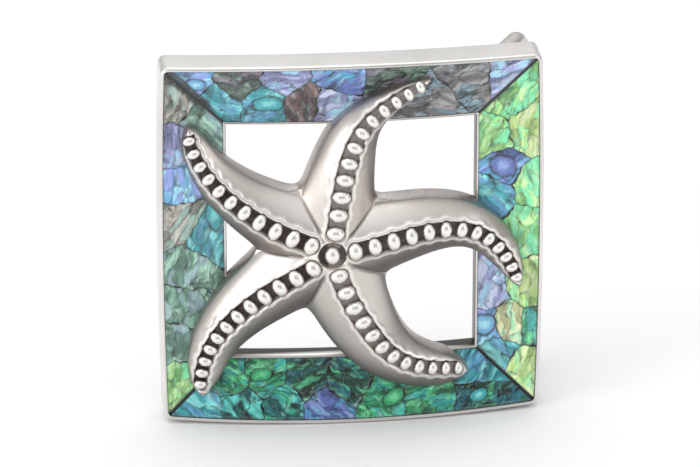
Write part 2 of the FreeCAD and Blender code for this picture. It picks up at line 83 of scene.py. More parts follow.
# The frontmost depth that the CAD box leaves for the starfish and its beads.
FRONT = (cad_box[0].y - case_low.y) / MM + 0.01
HUB = np.array((-3.0, 0.0))     # x and z of the starfish's middle
ROOT_WIDTH = 11.5               # an arm's width at the hub
RIDGE_HUB, RIDGE_TIP = 3.0, 0.9     # an arm's height at the hub and at its tip
# Depth of the bead groove, height of its lips, and depth of the crease between arms.
GROOVE, LIP_RISE, CREASE = 0.55, 0.14, 0.22
# Spacing of the grids that the meshes are cut from.
GRID, STAR_GRID, RESIN_GRID = 0.14, 0.138, 0.4
# An outline never cuts a grid line nearer to the grid's point than this share of it.
NEAREST_CUT = 0.12


# ---------------------------------------------------------------- small maths
CELLS = 64
rng = np.random.default_rng(11)
LATTICE = rng.random((10, CELLS, CELLS)) * math.tau


def noise(x, z, layer=0):
    """Smooth gradient noise, about -0.7 to 0.7."""
    xi, zi = np.floor(x).astype(int), np.floor(z).astype(int)
    fx, fz = x - xi, z - zi

    def corner(i, j):
        """What the cell's corner (i, j) adds at each point."""
        angle = LATTICE[layer][(xi + i) % CELLS, (zi + j) % CELLS]
        return np.cos(angle) * (fx - i) + np.sin(angle) * (fz - j)

    u = fx ** 3 * (fx * (fx * 6 - 15) + 10)
    v = fz ** 3 * (fz * (fz * 6 - 15) + 10)
    low = corner(0, 0) * (1 - u) + corner(1, 0) * u
    high = corner(0, 1) * (1 - u) + corner(1, 1) * u
    return low * (1 - v) + high * v


def layered(x, z, layer=0):
    """Two octaves of noise."""
    return noise(x, z, layer) + 0.5 * noise(2.1 * x + 7.7, 2.1 * z + 3.1, layer)


def step(low, high, x):
    """A smooth step: 0 below low and 1 above high."""
    t = np.clip((x - low) / (high - low), 0, 1)
    return t * t * (3 - 2 * t)


def soft_max(values, width):
    """The largest of the values at each point, rounded where two are nearly equal."""
    top = values.max(0)
    return top + width * np.log(np.exp((values - top) / width).sum(0))


def blend(a, b, share):
    """From a, where share is 0, to b, where it is 1."""
    return a * (1 - share) + b * share


def linear(colour):
    """A colour written as it looks on a screen, as light."""
    return np.power(np.asarray(colour, float), 2.2)


def plain(colour):
    """The same as a plain tuple, for a node's socket."""
    return tuple(linear(colour))


# ---------------------------------------------------------------- the plate's surfaces
def crown(x, depth=0.0):
    """The plate's front curve, or the same curve some depth behind it."""
    return CROWN - np.sqrt((CROWN - depth) ** 2 - x * x)


def face(x, z):
    """Depth of the dished face that falls from the outer edge to the window."""
    edge = HALF + BOW
    fall = DISH * np.clip((edge - np.abs(z)) / (edge - WINDOW), 0, 1)
    slopes = CROWN - np.sqrt((CROWN - fall) ** 2 - x * x)
    low = CROWN - math.sqrt((CROWN - DISH) ** 2 - WINDOW ** 2)
    high = CROWN - math.sqrt(CROWN ** 2 - edge ** 2)
    share = np.clip((np.abs(x) - WINDOW) / (edge - WINDOW), 0, 1)
    return np.minimum(slopes, low + (high - low) * share)


def edge_inset(x, z, inset):
    """Distance inside the bowed outer square with its round corners, less an inset."""
    right = HALF + BOW * (1 - (z / HALF) ** 2) - np.abs(x)
    upper = HALF + BOW * (1 - (x / HALF) ** 2) - np.abs(z)
    corner = np.hypot(np.maximum(CORNER - right, 0), np.maximum(CORNER - upper, 0))
    at_corner = (right < CORNER) & (upper < CORNER)
    return np.where(at_corner, CORNER - corner, np.minimum(right, upper)) - inset


# ---------------------------------------------------------------- meshes from fields
def region(x, z, field):
    """Polygons of the part of a grid where field >= 0: points, faces, rim edges."""
    inside = field >= 0
    points, number = [], {}

    def grid_point(i, j):
        key = (i, j)
        if key not in number:
            number[key] = len(points)
            points.append((x[i, j], z[i, j]))
        return number[key]

    def crossing(i, j, k, l):
        key = (i, j, k, l) if (i, j) < (k, l) else (k, l, i, j)
        if key not in number:
            number[key] = len(points)
            a, b, c, d = key
            share = field[a, b] / (field[a, b] - field[c, d])
            share = min(max(share, NEAREST_CUT), 1 - NEAREST_CUT)
            points.append((x[a, b] + (x[c, d] - x[a, b]) * share,
                           z[a, b] + (z[c, d] - z[a, b]) * share))
        return number[key]

    count = (inside[:-1, :-1].astype(int) + inside[1:, :-1]
             + inside[:-1, 1:] + inside[1:, 1:])
    faces = []
    for i, j in zip(*np.nonzero(count)):
        ring = ((i, j), (i + 1, j), (i + 1, j + 1), (i, j + 1))
        if count[i, j] == 4:
            faces.append([grid_point(*c) for c in ring])
            continue
        polygon = []
        for here, there in zip(ring, ring[1:] + ring[:1]):
            if inside[here]:
                polygon.append(grid_point(*here))
            if inside[here] != inside[there]:
                polygon.append(crossing(*here, *there))
        if len(polygon) > 2:
            faces.append(polygon)
    edges = {}
    for polygon in faces:
        for a, b in zip(polygon, polygon[1:] + polygon[:1]):
            if (b, a) in edges:
                del edges[(b, a)]
            else:
                edges[(a, b)] = True
    return np.array(points), faces, list(edges)


def closed(points, faces, rim, front, back):
    """A closed shell: the region at depth front, again at depth back, and its walls."""
    count = len(points)
    top = np.column_stack((points[:, 0], front, points[:, 1]))
    bottom = np.column_stack((points[:, 0], back, points[:, 1]))
    polygons = list(faces)
    polygons += [[v + count for v in reversed(f)] for f in faces]
    polygons += [[b, a, a + count, b + count] for a, b in rim]
    return np.vstack((top, bottom)), polygons


def add_mesh(name, points, polygons, material, sharp):
    """A mesh object from points in millimetres from the plate's centre.

    Its shading is smooth, apart from edges that turn by more than sharp degrees."""
    mesh = bpy.data.meshes.new(name)
    placed = points * MM + np.array(ORIGIN)
    mesh.from_pydata([tuple(p) for p in placed], [], polygons)
    mesh.validate()
    mesh.materials.append(material)
    mesh.polygons.foreach_set("use_smooth", [True] * len(mesh.polygons))
    mesh.set_sharp_from_angle(angle=math.radians(sharp))
    obj = bpy.data.objects.new(name, mesh)
    bpy.context.scene.collection.objects.link(obj)
    return obj


def paint(obj, name, values):
    """A colour or a number for each point, kept as a mesh attribute."""
    kind = "FLOAT_COLOR" if values.ndim == 2 else "FLOAT"
    attribute = obj.data.attributes.new(name, kind, "POINT")
    if kind == "FLOAT":
        attribute.data.foreach_set("value", values.astype(np.float32))
    else:
        full = np.ones((len(values), 4), np.float32)
        full[:, :3] = values
        attribute.data.foreach_set("color", full.ravel())


# ---------------------------------------------------------------- materials
class Nodes:
    """Short calls for building one node material."""

    def __init__(self, name):
        self.material = bpy.data.materials.new(name)
        self.material.use_nodes = True
        self.tree = self.material.node_tree
        self.shader = self.tree.nodes["Principled BSDF"]

    def add(self, kind, inputs=None, **settings):
        """A new node with its inputs, each a value or another node's output."""
        node = self.tree.nodes.new(kind)
        for key, value in settings.items():
            setattr(node, key, value)
        for key, value in (inputs or {}).items():
            self.join(node.inputs[key], value)
        return node

    def join(self, socket, value):
        """Links an output to a socket, or sets the socket to a value."""
        if isinstance(value, bpy.types.NodeSocket):
            self.tree.links.new(value, socket)
        else:
            socket.default_value = value

    def set(self, **values):
        """Sets or links the shader's own sockets, such as Base_Color."""
        for key, value in values.items():
            self.join(self.shader.inputs[key.replace("_", " ")], value)

    def attribute(self, name, output="Fac"):
        """What paint() kept on the mesh under this name."""
        return self.add("ShaderNodeAttribute", attribute_name=name).outputs[output]

    def math(self, operation, a, b=0.0, clamp=False):
        """The result of a Math node, kept from 0 to 1 if clamp is set."""
        node = self.add("ShaderNodeMath", operation=operation, use_clamp=clamp)
        self.join(node.inputs[0], a)
        self.join(node.inputs[1], b)
        return node.outputs[0]

    def ramp(self, value, stops):
        """A colour ramp whose stops are pairs of position and colour or grey level."""
        node = self.add("ShaderNodeValToRGB", {"Fac": value})
        ramp = node.color_ramp
        while len(ramp.elements) < len(stops):
            ramp.elements.new(0.5)
        for element, (spot, colour) in zip(ramp.elements, stops):
            element.position = spot
            if isinstance(colour, (int, float)):
                colour = (colour,) * 3
            element.color = (*colour, 1)
        return node.outputs["Color"]

    def mix(self, share, a, b, kind="MIX"):
        """From colour a to colour b by share."""
        node = self.add("ShaderNodeMix", data_type="RGBA", blend_type=kind)
        self.join(node.inputs["Factor"], share)
        # A Mix node's two colours are its sockets 6 and 7, and its colour output is 2.
        for socket, value in ((node.inputs[6], a), (node.inputs[7], b)):
            if not isinstance(value, bpy.types.NodeSocket):
                value = (*value, 1) if len(value) == 3 else value
            self.join(socket, value)
        return node.outputs[2]

    def place(self, scale=(1, 1, 1)):
        """The place on the object in metres, times a scale along each axis."""
        here = self.add("ShaderNodeTexCoord").outputs["Object"]
        return self.add("ShaderNodeMapping", {"Vector": here, "Scale": scale}).outputs[0]

    def noise(self, vector, scale, detail=4.0, roughness=0.55, distortion=0.0):
        """Cloudy noise, scale patches to the metre."""
        return self.add("ShaderNodeTexNoise", {
            "Vector": vector, "Scale": scale, "Detail": detail,
            "Roughness": roughness, "Distortion": distortion}).outputs["Fac"]

    def bump(self, height, distance, strength=1.0, normal=None):
        """A bumped normal, distance metres high, on top of another if one is given."""
        node = self.add("ShaderNodeBump", {
            "Height": height, "Distance": distance, "Strength": strength})
        if normal is not None:
            self.join(node.inputs["Normal"], normal)
        return node.outputs["Normal"]


def satin(n, dull, bright, roughness, stretch):
    """Satin metal: a cloudy tone, returned, and fine polishing marks along one way."""
    here = n.place()
    cloud = n.noise(here, 90.0, 3.0)
    marks = n.noise(n.place(stretch), 1.0, 5.0, 0.7)
    rough = n.math("ADD", n.math("MULTIPLY", marks, 0.16), roughness - 0.08)
    n.set(Metallic=1.0, Roughness=rough, Normal=n.bump(marks, 0.000012, 0.6))
    return n.ramp(cloud, ((0.3, dull), (0.7, bright)))


def silver(name, colour, roughness, stretch):
    """Satin silver for the sheet and the wires."""
    n = Nodes(name)
    bright = linear(colour)
    n.set(Base_Color=satin(n, tuple(bright * 0.86), tuple(bright), roughness, stretch))
    return n.material


def case_silver():
    """The case: satin silver, with painted shade on the walls deep inside the window."""
    n = Nodes("case_silver")
    tone = satin(n, plain((0.85, 0.84, 0.825)), plain((0.92, 0.91, 0.895)), 0.32,
                 (150.0, 900.0, 9000.0))
    split = n.add("ShaderNodeSeparateXYZ", {"Vector": n.place()})
    away = [n.math("ABSOLUTE", n.math("SUBTRACT", split.outputs[axis], middle))
            for axis, middle in (("X", ORIGIN.x), ("Z", ORIGIN.z))]
    inside = n.math("LESS_THAN", n.math("MAXIMUM", *away), (WINDOW + 0.1) * MM)
    # Painted shade inside the window starts 2.7 mm behind the front and is full 1.1 mm further
    # back.
    deep = n.math("SUBTRACT", split.outputs["Y"], ORIGIN.y + 2.7 * MM)
    patina_shade_and_highlight = n.math("MULTIPLY", inside, n.math("MULTIPLY", deep, 900.0, clamp=True))
    n.set(Base_Color=n.mix(patina_shade_and_highlight, tone, plain((0.30, 0.29, 0.27))))
    return n.material


def cast_silver():
    """Antiqued casting: bright satin on the raised parts, dark patina in the recesses, with
    painted shade and painted highlights on the flanks and beads.
    """
    n = Nodes("cast_silver")
    here = n.place()
    grain = n.noise(here, 2600.0, 4.0, 0.6)
    cloud = n.noise(here, 260.0, 4.0, 0.6)
    # The mesh attribute read here is 1 in the deepest patina and the darkest painted shade,
    # and below 0 on the most polished places and the painted highlights.
    patina_shade_and_highlight = n.attribute("patina_and_painted_light")
    patina_shade_and_highlight = n.math("ADD", patina_shade_and_highlight, n.math("MULTIPLY", n.math("SUBTRACT", cloud, 0.5), 0.35))
    polish_and_highlight = n.math("MULTIPLY", patina_shade_and_highlight, -1.0, clamp=True)
    patina_shade_and_highlight = n.math("MULTIPLY", patina_shade_and_highlight, 1.0, clamp=True)
    bright = n.ramp(cloud, ((0.3, plain((0.78, 0.75, 0.725))),
                            (0.7, plain((0.86, 0.835, 0.81)))))
    # Lighter on the polished places and on the painted highlights.
    bright = n.mix(polish_and_highlight, bright, plain((0.98, 0.97, 0.95)))
    # Darker with the patina and with the painted shade.
    tone = n.mix(patina_shade_and_highlight, bright, plain((0.26, 0.215, 0.225)))
    n.set(Base_Color=tone, Metallic=1.0)
    rough = n.math("ADD", n.math("MULTIPLY", patina_shade_and_highlight, 0.25), 0.27)
    rough = n.math("ADD", rough, n.math("MULTIPLY", grain, 0.12))
    n.set(Roughness=rough)
    n.set(Normal=n.bump(cloud, 0.00003, 0.5, n.bump(grain, 0.000012, 0.5)))
    return n.material


def abalone():
    """Shell: painted bands with silky growth lines and a polished clear face."""
    n = Nodes("abalone_shell")
    flow = n.add("ShaderNodeUVMap", uv_map="flow").outputs[0]
    tint = n.attribute("tint", "Color")
    drawn = n.add("ShaderNodeMapping", {"Vector": flow, "Scale": (0.55, 5.5, 1.0)})
    silk = n.noise(drawn.outputs[0], 1.0, 5.0, 0.65, 0.6)
    fleck = n.noise(flow, 3.2, 3.0, 0.6, 1.2)
    shade = n.ramp(silk, ((0.30, 0.74), (0.50, 1.0), (0.72, 1.18)))
    tone = n.mix(1.0, tint, shade, "MULTIPLY")
    glint = n.ramp(fleck, ((0.56, 0.0), (0.68, 1.0)))
    paler = n.mix(0.5, tone, (0.75, 0.95, 0.85))
    tone = n.mix(n.math("MULTIPLY", glint, 0.35), tone, paler)
    n.set(Base_Color=tone, Metallic=0.15, Roughness=0.34)
    n.set(Normal=n.bump(silk, 0.00003, 0.4))
    n.set(Coat_Weight=1.0, Coat_Roughness=0.05, Coat_IOR=1.5)
    return n.material


def black_resin():
    """The black resin that the chips lie in: glossy, a little uneven."""
    n = Nodes("black_resin")
    cloud = n.noise(n.place(), 400.0, 4.0)
    tone = n.ramp(cloud, ((0.3, (0.004, 0.005, 0.006)), (0.7, (0.014, 0.016, 0.018))))
    n.set(Base_Color=tone, Roughness=n.math("ADD", n.math("MULTIPLY", cloud, 0.2), 0.12))
    n.set(Normal=n.bump(cloud, 0.00002, 0.5), Coat_Weight=0.5, Coat_Roughness=0.06)
    return n.material


SHEET = silver("sheet_silver", (0.86, 0.845, 0.82), 0.30, (120.0, 900.0, 9000.0))
WIRE = silver("wire_silver", (0.84, 0.82, 0.80), 0.26, (4000.0, 4000.0, 300.0))
CAST = cast_silver()
SHELL = abalone()
RESIN = black_resin()

# ---------------------------------------------------------------- the shell mosaic
# Screen colours of the shell: dark growth tone, body tone, bright tone, second tone.
PALETTES = {
    "blue": ((0.10, 0.20, 0.36), (0.42, 0.68, 0.86), (0.66, 0.90, 0.97), (0.54, 0.58, 0.84)),
    "turquoise": ((0.06, 0.26, 0.30), (0.24, 0.66, 0.70), (0.52, 0.88, 0.88),
                  (0.34, 0.56, 0.72)),
    "teal": ((0.02, 0.14, 0.15), (0.10, 0.44, 0.44), (0.40, 0.86, 0.82), (0.20, 0.62, 0.48)),
    "murky": ((0.08, 0.12, 0.12), (0.28, 0.36, 0.33), (0.46, 0.58, 0.50), (0.44, 0.40, 0.46)),
    "lilac": ((0.22, 0.22, 0.34), (0.60, 0.62, 0.82), (0.80, 0.84, 0.96), (0.56, 0.76, 0.86)),
    "smoke": ((0.12, 0.12, 0.13), (0.44, 0.43, 0.44), (0.66, 0.64, 0.64), (0.42, 0.54, 0.60)),
    "dusk": ((0.18, 0.18, 0.17), (0.60, 0.58, 0.54), (0.78, 0.76, 0.71), (0.54, 0.66, 0.62)),
    "brown": ((0.12, 0.07, 0.07), (0.38, 0.27, 0.28), (0.56, 0.46, 0.46), (0.34, 0.42, 0.44)),
    "lime": ((0.18, 0.42, 0.24), (0.60, 0.86, 0.52), (0.78, 0.96, 0.66), (0.44, 0.84, 0.64)),
    "yellow": ((0.34, 0.48, 0.24), (0.74, 0.88, 0.52), (0.88, 0.95, 0.70), (0.54, 0.86, 0.64)),
    "green": ((0.05, 0.24, 0.16), (0.22, 0.66, 0.44), (0.46, 0.88, 0.62), (0.20, 0.58, 0.58)),
    "forest": ((0.02, 0.08, 0.08), (0.12, 0.34, 0.26), (0.34, 0.74, 0.54), (0.14, 0.38, 0.44)),
    "seafoam": ((0.20, 0.34, 0.30), (0.46, 0.64, 0.56), (0.66, 0.84, 0.74),
                (0.52, 0.62, 0.66)),
    "violet": ((0.14, 0.16, 0.36), (0.38, 0.46, 0.74), (0.58, 0.68, 0.90), (0.30, 0.62, 0.76)),
    "peach": ((0.40, 0.42, 0.28), (0.80, 0.82, 0.60), (0.92, 0.90, 0.72), (0.62, 0.86, 0.70)),
}
# Ovals in the shell: centre, two radii, tilt, palette.  Each has a dark outline.
EYES = (
    (-11.6, -18.2, 1.5, 0.85, 10, "green"), (19.2, 8.9, 1.7, 1.5, -30, "violet"),
    (17.0, -12.9, 1.6, 1.5, 20, "blue"), (16.2, -22.0, 1.3, 0.8, 10, "turquoise"),
    (-10.6, 18.9, 2.0, 1.1, 4, "turquoise"), (-17.4, 3.6, 1.0, 2.0, 12, "turquoise"),
    (5.2, -21.4, 1.6, 1.0, 35, "green"), (-19.6, 21.6, 1.3, 0.9, 0, "blue"),
)
# For each side, its chips in the order of their nodes: seed x and z, palette, grain angle.
CHIPS = {
    "top": (
        (-20.2, 21.8, "blue", 10), (-17.0, 19.0, "turquoise", -38), (-14.4, 22.3, "murky", 0),
        (-10.6, 18.8, "turquoise", 5), (-8.6, 22.4, "lilac", 8), (-6.1, 19.2, "brown", -70),
        (-2.8, 18.7, "lilac", 20), (-2.0, 22.6, "violet", 30), (4.6, 22.3, "murky", 12),
        (10.0, 18.2, "smoke", -8), (14.4, 21.6, "smoke", 15), (20.0, 21.8, "lilac", 14)),
    "right": (
        (19.8, 18.4, "lime", 70), (22.8, 14.0, "yellow", 85), (17.6, 12.6, "lime", 60),
        (19.2, 8.6, "violet", 40), (22.9, 6.6, "lime", 100), (17.6, 5.2, "turquoise", -40),
        (22.7, 0.2, "lime", 85), (17.6, -8.2, "lilac", 80), (22.4, -7.6, "yellow", 95),
        (16.9, -13.0, "blue", 60), (20.5, -12.6, "peach", 88), (23.2, -12.8, "green", 80),
        (18.9, -17.2, "turquoise", -45), (22.2, -18.8, "yellow", 75)),
    "bottom": (
        (-19.4, -22.6, "turquoise", -30), (-14.2, -22.2, "teal", -50),
        (-15.6, -18.4, "green", -30), (-11.3, -18.3, "green", 15), (-9.0, -22.3, "teal", -25),
        (-5.6, -18.4, "forest", 20), (-3.4, -22.6, "violet", -35),
        (-0.4, -19.2, "forest", -30), (3.6, -21.8, "green", -20), (9.8, -22.4, "green", 10),
        (16.4, -22.4, "forest", 30), (16.6, -18.6, "turquoise", 45)),
    "left": (
        (-22.6, 19.6, "dusk", 80), (-18.2, 16.4, "seafoam", -40), (-22.7, 13.0, "lilac", 88),
        (-22.3, 8.2, "blue", 80), (-22.3, 3.2, "dusk", 60), (-17.5, 0.4, "turquoise", 75),
        (-20.7, -3.2, "seafoam", 70), (-21.6, -8.6, "seafoam", 100),
        (-22.8, -13.4, "seafoam", 95), (-22.2, -19.2, "lime", 85)),
}
FAR = 1e3                       # further than any distance on the plate
CHIP_MARGIN = 1.6               # a chip may reach this far past its CAD solid's box
SIDES = ("top", "right", "bottom", "left")
TURNS = {"top": (0, 1), "right": (1, 0), "bottom": (0, -1), "left": (-1, 0)}


def side_inset(side, x, z):
    """Distance inside one quarter of the tray, measured from its mitres and edges."""
    along = TURNS[side]
    out = x * along[0] + z * along[1]
    across = np.abs(x * along[1] - z * along[0])
    mitre = (out - across) / math.sqrt(2) - MITRE
    return np.minimum(np.minimum(mitre, out - WINDOW - LIP), edge_inset(x, z, RIM))


def wander(x, z):
    """Chip edges wander a little, as hand-cut shell does."""
    dx = 0.75 * noise(x * 0.42, z * 0.42, 0) + 0.30 * noise(x * 1.3, z * 1.3, 1)
    dz = 0.75 * noise(x * 0.42 + 31, z * 0.42, 2) + 0.30 * noise(x * 1.3, z * 1.3 + 17, 3)
    return x + dx, z + dz


def chip_inset(side, index, x, z):
    """Distance inside one chip: nearer to its own seed than to any other."""
    wx, wz = wander(x, z)
    seeds = CHIPS[side]
    sx, sz = seeds[index][:2]
    inset = np.full(x.shape, FAR)
    for k, (ox, oz, *_) in enumerate(seeds):
        if k == index:
            continue
        length = math.hypot(ox - sx, oz - sz)
        beyond = ((wx - sx) * (ox - sx) + (wz - sz) * (oz - sz)) / length
        inset = np.minimum(inset, length / 2 - beyond)
    joint = 0.03 + 0.13 * step(0.0, 0.5, noise(x * 0.6, z * 0.6, 4))
    return np.minimum(inset - joint, side_inset(side, x, z) - BED_GAP)


def crazing(x, z, size, layer):
    """Irregular patches: each point's two random numbers, and its distance from the
    border of its patch."""
    u, v = x / size, z / size
    near, second = np.full(x.shape, FAR), np.full(x.shape, FAR)
    first_random, second_random = np.zeros(x.shape), np.zeros(x.shape)
    for i in (-1, 0, 1):
        for j in (-1, 0, 1):
            cu, cv = np.floor(u).astype(int) + i, np.floor(v).astype(int) + j
            a = LATTICE[layer][cu % CELLS, cv % CELLS] / math.tau
            b = LATTICE[layer + 1][cu % CELLS, cv % CELLS] / math.tau
            gap = np.hypot(cu + 0.1 + 0.8 * a - u, cv + 0.1 + 0.8 * b - v)
            closer = gap < near
            second = np.where(closer, near, np.minimum(second, gap))
            near = np.where(closer, gap, near)
            first_random = np.where(closer, (a * 7.3 + b * 3.1) % 1, first_random)
            second_random = np.where(closer, (a * 5.7 + b * 9.9) % 1, second_random)
    return first_random, second_random, (second - near) * size / 2


def draw_eyes(colour, x, z):
    """Ovals of clear colour in the shell, each with a dark outline."""
    for ex, ez, rx, rz, tilt, name in EYES:
        outline, body, bright, _ = [linear(c) for c in PALETTES[name]]
        lean = math.radians(tilt)
        ea = (x - ex) * math.cos(lean) + (z - ez) * math.sin(lean)
        eb = -(x - ex) * math.sin(lean) + (z - ez) * math.cos(lean)
        away = np.hypot(ea / rx, eb / rz) + 0.22 * noise(x * 0.9, z * 0.9, 6)
        inner = (1 - step(0.80, 0.95, away))[:, None]
        core = step(0.15, 0.65, away + 0.3 * noise(x * 2.0, z * 2.0, 7))[:, None]
        colour = blend(colour, blend(bright, body, core), inner)
        ring = 0.88 * np.exp(-((away - 0.98) / 0.12) ** 2)[:, None]
        colour = blend(colour, outline * 0.35, ring)
    return colour


def shell_colour(x, z, inset, palette, angle, number):
    """Patches of shell colour that wander along the grain, with dark growth lines."""
    dark, body, bright, second = [linear(c) for c in PALETTES[palette]]
    # u runs along the grain and v across it, each chip in its own part of the noise.
    turn = math.radians(angle)
    u = x * math.cos(turn) + z * math.sin(turn) + 13.7 * number
    v = -x * math.sin(turn) + z * math.cos(turn) + 5.3 * number
    bend_u = u + 1.3 * noise(u * 0.30, v * 0.30, 5) + 0.25 * noise(u * 1.4, v * 1.4, 2)
    bend_v = v + 1.0 * noise(u * 0.34, v * 0.34, 6) + 0.25 * noise(u * 1.4, v * 1.4, 3)
    pick, shade, border = crazing(bend_u * 0.52, bend_v * 1.30, 1.7, 1)
    # The four tones, patch by patch and band by band.
    band = layered(bend_u * 0.26, bend_v * 1.15, 7) + 0.9 * (pick - 0.5)
    other = layered(bend_u * 0.35 + 9, bend_v * 0.9, 8) + 0.9 * (shade - 0.5)
    low = step(-0.55, -0.05, band)[:, None]
    colour = blend(body * 0.40 + dark * 0.60, body, low)
    colour = blend(colour, bright, step(0.0, 0.42, band)[:, None])
    colour = blend(colour, second, 0.85 * step(0.02, 0.36, other)[:, None])
    colour = colour * (0.80 + 0.66 * shade)[:, None]
    # Dark shell shows its silky streaks, lines and blots more than pale shell does.
    murk = float(np.clip(1.25 - 2.6 * body.mean(), 0.25, 1.0))
    silk = noise(bend_u * 0.75, bend_v * 4.2, 4)
    colour = colour * (1.0 + 0.9 * murk * np.clip(silk, -0.6, 0.5))[:, None]
    pearl = (0.55 * step(0.22, 0.50, noise(bend_u * 0.8 + 5, bend_v * 1.6, 6)))[:, None]
    colour = blend(colour, 0.5 * bright + 0.5 * linear((0.80, 0.95, 0.93)), pearl)
    # Dark ink: along the patches' borders, in fine growth lines and in blots.
    spread = 0.05 + 0.11 * step(-0.2, 0.5, noise(u * 0.7, v * 0.7, 2))
    cut = np.exp(-(np.maximum(border - 0.02, 0) / spread) ** 2)
    cut *= 0.25 + 0.75 * step(-0.25, 0.30, noise(u * 0.45, v * 0.45, 4))
    cut *= 0.72 + 0.28 * murk
    fine = noise(bend_u * 0.50, bend_v * 1.7, 9)
    line = np.exp(-(fine / (0.035 + 0.05 * murk)) ** 2)
    line *= step(-0.05, 0.30, noise(u * 0.35, v * 0.35, 5) + 0.30 * (murk - 0.6))
    blot = step(0.20, 0.42, layered(bend_u * 0.45 + 3, bend_v * 1.1, 0)) * murk
    ink = np.clip(0.80 * cut + 0.85 * line + 0.85 * blot, 0, 0.92)[:, None]
    colour = draw_eyes(blend(colour, dark * 0.25, ink), x, z)
    # The mitre at the top left is filled with black.
    seam = np.abs(x + z) / math.sqrt(2) + 0.5 * noise(x * 0.6, z * 0.6, 8)
    filled = step(0.5, 3.0, z - 16.0) * (x < 0)
    seam = (0.93 * (1 - step(0.60, 1.05, seam)) * filled)[:, None]
    colour = blend(colour, 0.006, seam)
    rim = (0.35 * (1 - step(0.0, 0.20, inset)))[:, None]
    return blend(colour, dark * 0.4, rim), np.column_stack((u, v))


def add_chip(side, index):
    """One chip of shell, in the place of its CAD solid."""
    palette, angle = CHIPS[side][index][2:]
    node = "shell_%s_%02d" % (side, index + 1)
    low, high = [(np.array(p) - np.array(ORIGIN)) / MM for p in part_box(node)]
    xs, zs = [np.arange(max(low[axis] - CHIP_MARGIN, -HALF),
                        min(high[axis] + CHIP_MARGIN, HALF) + GRID, GRID) for axis in (0, 2)]
    x, z = np.meshgrid(xs, zs, indexing="ij")
    points, faces, rim = region(x, z, chip_inset(side, index, x, z))
    px, pz = points.T
    inset = chip_inset(side, index, px, pz)
    top = face(px, pz) + CHIP_ROUND * (1 - step(0.0, 0.22, inset))
    shell, polygons = closed(points, faces, rim, top, face(px, pz) + CHIP_DEPTH)
    obj = add_mesh("chip_%s_%02d" % (side, index + 1), shell, polygons, SHELL, 40)
    number = index + 20 * SIDES.index(side)
    colour, grain = shell_colour(px, pz, inset, palette, angle, number)
    paint(obj, "tint", np.vstack((colour, colour)))
    flow = obj.data.uv_layers.new(name="flow")
    corners = np.zeros(len(obj.data.loops), int)
    obj.data.loops.foreach_get("vertex_index", corners)
    both = np.vstack((grain, grain))[corners]
    flow.data.foreach_set("uv", both.astype(np.float32).ravel())
    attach(obj, "plate")
    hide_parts(node)


def add_resin(side):
    """One side's bed of resin, which shows as the dark joints between the chips."""
    xs = np.arange(-HALF - RESIN_GRID / 2, HALF + RESIN_GRID / 2, RESIN_GRID)
    x, z = np.meshgrid(xs, xs, indexing="ij")
    along = TURNS[side]

    def inset(x, z):
        out = x * along[0] + z * along[1]
        across = np.abs(x * along[1] - z * along[0])
        return np.minimum(np.minimum((out - across) / math.sqrt(2), out - WINDOW - LIP),
                          edge_inset(x, z, RIM))

    points, faces, rim = region(x, z, inset(x, z))
    px, pz = points.T
    shell, polygons = closed(points, faces, rim, face(px, pz) + RESIN_SINK,
                             face(px, pz) + RESIN_DEPTH)
    obj = add_mesh("resin_bed_" + side, shell, polygons, RESIN, 40)
    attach(obj, "plate")
    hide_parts("resin_" + side)


def add_case():
    """The case: a cast ring with rounded edges, a thin rim and a lip at the window."""
    # 120 points on each side, closer together near the corners.
    even = np.linspace(-1, 1, 121)[:-1]
    sweep = 0.4 * even + 0.6 * np.sin(even * math.pi / 2)
    turns = np.concatenate([np.arctan(sweep) + k * math.pi / 2 for k in range(4)])
    cos, sin = np.cos(turns), np.sin(turns)

    def outer(inset):
        """Points this far inside the plate's outline, found by halving along rays."""
        low, high = np.full(turns.shape, 10.0), np.full(turns.shape, 40.0)
        for _ in range(40):
            middle = (low + high) / 2
            inside = edge_inset(middle * cos, middle * sin, inset) > 0
            low, high = np.where(inside, middle, low), np.where(inside, high, middle)
        return low * cos, low * sin

    def inner(out):
        """Points this far outside the window's edge."""
        reach = (WINDOW + out) / np.maximum(np.abs(cos), np.abs(sin))
        return reach * cos, reach * sin

    rings = []

    def ring(spots, surface, extra):
        """One ring of points, on the face or this far behind the crown, plus extra."""
        x, z = spots
        depth = face(x, z) if surface == "face" else crown(x, surface)
        rings.append(np.column_stack((x, depth + extra, z)))

    ring(outer(RIM), "face", TRAY_WALL)
    ring(outer(RIM), 0.0, BEVEL)
    ring(outer(RIM - BEVEL), 0.0, 0.02)
    for k in range(7):
        turn = math.pi / 2 * k / 6
        ring(outer(SNUG + EDGE * (1 - math.sin(turn))), 0.0,
             EDGE * (1 - math.cos(turn)) + 0.01)
    ring(outer(SNUG), CASE_DEPTH, 0.0)
    ring(inner(0.0), CASE_DEPTH, 0.0)
    ring(inner(0.0), "face", BEVEL)
    ring(inner(BEVEL), "face", 0.0)
    ring(inner(LIP), "face", 0.0)
    ring(inner(LIP), "face", TRAY_WALL)
    count, around = len(rings), len(turns)
    polygons = []
    for j in range(count):
        a, b = j * around, (j + 1) % count * around
        for i in range(around):
            after = (i + 1) % around
            polygons.append([a + i, b + i, b + after, a + after])
    obj = add_mesh("case_ring", np.vstack(rings), polygons, case_silver(), 40)
    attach(obj, "plate")
    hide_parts("frame_body")


add_case()
for side in SIDES:
    add_resin(side)
    for index in range(len(CHIPS[side])):
        add_chip(side, index)

